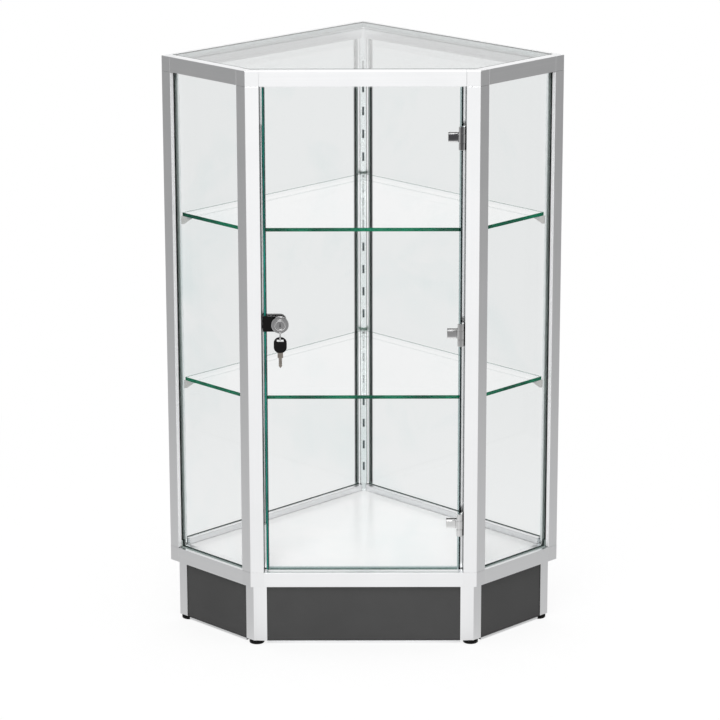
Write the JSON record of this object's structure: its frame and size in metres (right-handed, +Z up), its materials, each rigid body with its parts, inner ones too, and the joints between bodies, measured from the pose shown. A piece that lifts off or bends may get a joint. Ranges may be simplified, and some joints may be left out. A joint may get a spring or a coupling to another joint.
{
  "type": "corner display cabinet",
  "caption": "Five-sided corner display cabinet: aluminium frame, glass walls and top, glass shelves on slotted standards, a hinged glass door with a key lock, and a panelled kick base.",
  "frame": {"origin": "on the floor, under the middle of the bounding box", "axes": "+Z up; the door faces -Y; the 90 degree back corner points to +Y; +X to the right as seen from the front"},
  "size_m": [0.6506, 0.475, 0.965],
  "materials": {
    "anodised_aluminium": "satin silver anodised extrusion",
    "cast_aluminium": "satin silver corner castings",
    "clear_glass": "clear toughened float glass",
    "top_glass": "clear toughened float glass, flush in the top frame",
    "shelf_glass": "clear toughened float glass with polished green edges",
    "black_gasket": "black PVC glazing gasket",
    "clear_pad": "translucent soft pads",
    "white_board": "white melamine-faced board",
    "grey_laminate": "dark grey melamine-faced board, matt",
    "black_plastic": "black moulded nylon",
    "slotted_steel": "bright anodised slotted standard",
    "bracket_steel": "bright zinc-plated pressed steel",
    "chrome": "polished chrome",
    "zinc_steel": "bright zinc-plated steel",
    "black_enamel": "black enamelled die casting, semi-gloss",
    "key_plastic": "black moulded key head",
    "nickel_steel": "nickel-plated key blank"
  },
  "bodies": {
    "cabinet": {"back_post": "anodised_aluminium", "bottom_corner_blocks": "cast_aluminium", "bottom_rail_back_left": "anodised_aluminium", "bottom_rail_back_right": "anodised_aluminium", "bottom_rail_front": "anodised_aluminium", "bottom_rail_left": "anodised_aluminium", "bottom_rail_right": "anodised_aluminium", "deck": "white_board", "foot_plugs": "black_plastic", "front_left_post": "anodised_aluminium", "front_right_post": "anodised_aluminium", "glass_back_left": "clear_glass", "glass_back_right": "clear_glass", "glass_left": "clear_glass", "glass_right": "clear_glass", "glazing_beads": "anodised_aluminium", "glazing_gaskets": "black_gasket", "hinge_leaves": "chrome", "hinge_pins": "zinc_steel", "kick_panel_back_left": "grey_laminate", "kick_panel_back_right": "grey_laminate", "kick_panel_front": "grey_laminate", "kick_panel_left": "grey_laminate", "kick_panel_right": "grey_laminate", "kick_posts": "anodised_aluminium", "kick_trims": "anodised_aluminium", "left_post": "anodised_aluminium", "lower_bracket_pads": "clear_pad", "lower_brackets": "bracket_steel", "post_screws": "zinc_steel", "right_post": "anodised_aluminium", "shelf_standards": "slotted_steel", "top_corner_blocks": "cast_aluminium", "top_glass": "top_glass", "top_glass_seal": "clear_pad", "top_rail_back_left": "anodised_aluminium", "top_rail_back_right": "anodised_aluminium", "top_rail_front": "anodised_aluminium", "top_rail_left": "anodised_aluminium", "top_rail_right": "anodised_aluminium", "upper_bracket_pads": "clear_pad", "upper_brackets": "bracket_steel"},
    "door": {"door_glass": "clear_glass", "hinge_clips": "chrome", "clip_pads": "black_gasket", "clip_screws": "zinc_steel", "lock_case": "black_enamel", "lock_collar": "chrome"},
    "lock_plug": {"lock_plug": "chrome"},
    "lock_bolt": {"lock_bolt": "zinc_steel"},
    "key_ring": {"key_ring": "chrome"},
    "key": {"key_head": "key_plastic", "key_blade": "nickel_steel"},
    "lower_shelf": {"lower_shelf": "shelf_glass"},
    "upper_shelf": {"upper_shelf": "shelf_glass"},
    "leveller_front_left": {"leveller_front_left": "black_plastic"},
    "leveller_front_right": {"leveller_front_right": "black_plastic"},
    "leveller_right": {"leveller_right": "black_plastic"},
    "leveller_back": {"leveller_back": "black_plastic"},
    "leveller_left": {"leveller_left": "black_plastic"}
  },
  "joints": [
    {"name": "door_hinge", "type": "hinge", "parent": "cabinet", "child": "door", "pos_m": [0.15697, -0.22628, 0.5345], "axis": [0, 0, 1], "range_deg": [0, 105]},
    {"name": "lock_turn", "type": "hinge", "parent": "door", "child": "lock_plug", "pos_m": [-0.13347, -0.23008, 0.552], "axis": [0, -1, 0], "range_deg": [0, 90]},
    {"name": "bolt_slide", "type": "slide", "parent": "door", "child": "lock_bolt", "axis": [-1, 0, 0], "range_m": [0, 0.006]},
    {"name": "ring_swing", "type": "hinge", "parent": "door", "child": "key_ring", "pos_m": [-0.13347, -0.23008, 0.5406], "axis": [0, 1, 0], "range_deg": [-40, 40]},
    {"name": "key_swing", "type": "hinge", "parent": "key_ring", "child": "key", "pos_m": [-0.13347, -0.23008, 0.5268], "axis": [0, 1, 0], "range_deg": [-40, 40]},
    {"name": "lower_shelf_lift", "type": "slide", "parent": "cabinet", "child": "lower_shelf", "axis": [0, 0, 1], "range_m": [0, 0.04]},
    {"name": "upper_shelf_lift", "type": "slide", "parent": "cabinet", "child": "upper_shelf", "axis": [0, 0, 1], "range_m": [0, 0.04]},
    {"name": "leveller_front_left_screw", "type": "slide", "parent": "cabinet", "child": "leveller_front_left", "axis": [0, 0, -1], "range_m": [0, 0.012]},
    {"name": "leveller_front_right_screw", "type": "slide", "parent": "cabinet", "child": "leveller_front_right", "axis": [0, 0, -1], "range_m": [0, 0.012]},
    {"name": "leveller_right_screw", "type": "slide", "parent": "cabinet", "child": "leveller_right", "axis": [0, 0, -1], "range_m": [0, 0.012]},
    {"name": "leveller_back_screw", "type": "slide", "parent": "cabinet", "child": "leveller_back", "axis": [0, 0, -1], "range_m": [0, 0.012]},
    {"name": "leveller_left_screw", "type": "slide", "parent": "cabinet", "child": "leveller_left", "axis": [0, 0, -1], "range_m": [0, 0.012]}
  ],
  "couplings": [
    {"joint": "lock_turn", "follows": "bolt_slide", "rad_per_m": 261.79}
  ]
}
